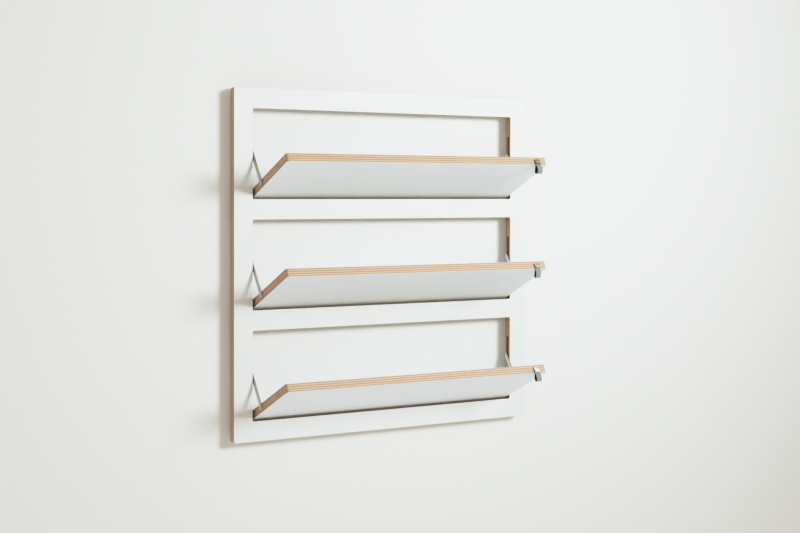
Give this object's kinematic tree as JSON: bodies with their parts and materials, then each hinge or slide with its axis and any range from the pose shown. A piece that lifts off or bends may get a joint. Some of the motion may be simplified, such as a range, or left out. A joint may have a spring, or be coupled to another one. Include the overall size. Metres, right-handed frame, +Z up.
{
  "type": "fold-down wall shelf",
  "caption": "Square wall-hung plywood panel shelf. Three white flaps fold forward out of openings in its frame, held by flat steel stays, with grey felt pull loops.",
  "frame": {"origin": "on the wall plane, in the middle of the wall rail's line of screw holes, 34 mm below the shelf's top edge", "axes": "+Z up, +X to the right of a person facing the shelf, +Y into the wall"},
  "size_m": [0.8, 0.2002, 0.8],
  "materials": {
    "plywood": "clear-lacquered birch plywood, plies showing on every cut edge",
    "white_laminate": "satin white laminate with a fine pebble",
    "stay_steel": "brushed stainless steel",
    "screw_steel": "bright zinc-plated steel",
    "spring_steel": "drawn spring wire",
    "insert_brass": "turned brass",
    "magnet_nickel": "nickel plating, dulled",
    "rail_aluminium": "mill-finish extrusion",
    "spacer_rubber": "matt black rubber",
    "bush_plastic": "dark acetal",
    "strap_felt": "grey pressed wool felt"
  },
  "bodies": {
    "frame": {"frame_core": "plywood", "frame_front_laminate": "white_laminate", "frame_back_laminate": "white_laminate", "hinge_bushes": "bush_plastic", "wall_rail": "rail_aluminium", "hanger_rail": "rail_aluminium", "hanger_rail_screws": "screw_steel", "left_spacer": "spacer_rubber", "right_spacer": "spacer_rubber", "spacer_screws": "screw_steel"},
    "top_flap": {"top_flap_core": "plywood", "top_flap_front_laminate": "white_laminate", "top_flap_back_laminate": "white_laminate", "top_pivot_pins": "screw_steel", "top_pivot_springs": "spring_steel", "top_stay_inserts": "insert_brass", "top_stay_screws": "screw_steel", "top_stay_washers": "screw_steel", "top_catch_magnets": "magnet_nickel", "top_pull_strap": "strap_felt", "top_pull_plate": "stay_steel", "top_pull_screw": "screw_steel"},
    "top_left_stay": {"top_left_stay": "stay_steel", "top_left_guide_pin": "stay_steel"},
    "top_right_stay": {"top_right_stay": "stay_steel", "top_right_guide_pin": "stay_steel"},
    "middle_flap": {"middle_flap_core": "plywood", "middle_flap_front_laminate": "white_laminate", "middle_flap_back_laminate": "white_laminate", "middle_pivot_pins": "screw_steel", "middle_pivot_springs": "spring_steel", "middle_stay_inserts": "insert_brass", "middle_stay_screws": "screw_steel", "middle_stay_washers": "screw_steel", "middle_catch_magnets": "magnet_nickel", "middle_pull_strap": "strap_felt", "middle_pull_plate": "stay_steel", "middle_pull_screw": "screw_steel"},
    "middle_left_stay": {"middle_left_stay": "stay_steel", "middle_left_guide_pin": "stay_steel"},
    "middle_right_stay": {"middle_right_stay": "stay_steel", "middle_right_guide_pin": "stay_steel"},
    "bottom_flap": {"bottom_flap_core": "plywood", "bottom_flap_front_laminate": "white_laminate", "bottom_flap_back_laminate": "white_laminate", "bottom_pivot_pins": "screw_steel", "bottom_pivot_springs": "spring_steel", "bottom_stay_inserts": "insert_brass", "bottom_stay_screws": "screw_steel", "bottom_stay_washers": "screw_steel", "bottom_catch_magnets": "magnet_nickel", "bottom_pull_strap": "strap_felt", "bottom_pull_plate": "stay_steel", "bottom_pull_screw": "screw_steel"},
    "bottom_left_stay": {"bottom_left_stay": "stay_steel", "bottom_left_guide_pin": "stay_steel"},
    "bottom_right_stay": {"bottom_right_stay": "stay_steel", "bottom_right_guide_pin": "stay_steel"}
  },
  "joints": [
    {"name": "top_flap_hinge", "type": "hinge", "parent": "frame", "child": "top_flap", "pos_m": [0, -0.021, -0.20333], "axis": [-1, 0, 0], "range_deg": [0, 65]},
    {"name": "top_left_stay_pivot", "type": "hinge", "parent": "top_flap", "child": "top_left_stay", "pos_m": [-0.35105, -0.06813, -0.18136], "axis": [1, 0, 0], "range_deg": [0, 97.86]},
    {"name": "top_right_stay_pivot", "type": "hinge", "parent": "top_flap", "child": "top_right_stay", "pos_m": [0.35105, -0.06813, -0.18136], "axis": [1, 0, 0], "range_deg": [0, 97.86]},
    {"name": "middle_flap_hinge", "type": "hinge", "parent": "frame", "child": "middle_flap", "pos_m": [0, -0.021, -0.45467], "axis": [-1, 0, 0], "range_deg": [0, 65]},
    {"name": "middle_left_stay_pivot", "type": "hinge", "parent": "middle_flap", "child": "middle_left_stay", "pos_m": [-0.35105, -0.06813, -0.43269], "axis": [1, 0, 0], "range_deg": [0, 97.86]},
    {"name": "middle_right_stay_pivot", "type": "hinge", "parent": "middle_flap", "child": "middle_right_stay", "pos_m": [0.35105, -0.06813, -0.43269], "axis": [1, 0, 0], "range_deg": [0, 97.86]},
    {"name": "bottom_flap_hinge", "type": "hinge", "parent": "frame", "child": "bottom_flap", "pos_m": [0, -0.021, -0.706], "axis": [-1, 0, 0], "range_deg": [0, 65]},
    {"name": "bottom_left_stay_pivot", "type": "hinge", "parent": "bottom_flap", "child": "bottom_left_stay", "pos_m": [-0.35105, -0.06813, -0.68402], "axis": [1, 0, 0], "range_deg": [0, 97.86]},
    {"name": "bottom_right_stay_pivot", "type": "hinge", "parent": "bottom_flap", "child": "bottom_right_stay", "pos_m": [0.35105, -0.06813, -0.68402], "axis": [1, 0, 0], "range_deg": [0, 97.86]}
  ],
  "couplings": [
    {"joint": "top_left_stay_pivot", "follows": "top_flap_hinge", "ratio": 1.5048},
    {"joint": "top_right_stay_pivot", "follows": "top_flap_hinge", "ratio": 1.5048},
    {"joint": "middle_left_stay_pivot", "follows": "middle_flap_hinge", "ratio": 1.5048},
    {"joint": "middle_right_stay_pivot", "follows": "middle_flap_hinge", "ratio": 1.5048},
    {"joint": "bottom_left_stay_pivot", "follows": "bottom_flap_hinge", "ratio": 1.5048},
    {"joint": "bottom_right_stay_pivot", "follows": "bottom_flap_hinge", "ratio": 1.5048}
  ]
}
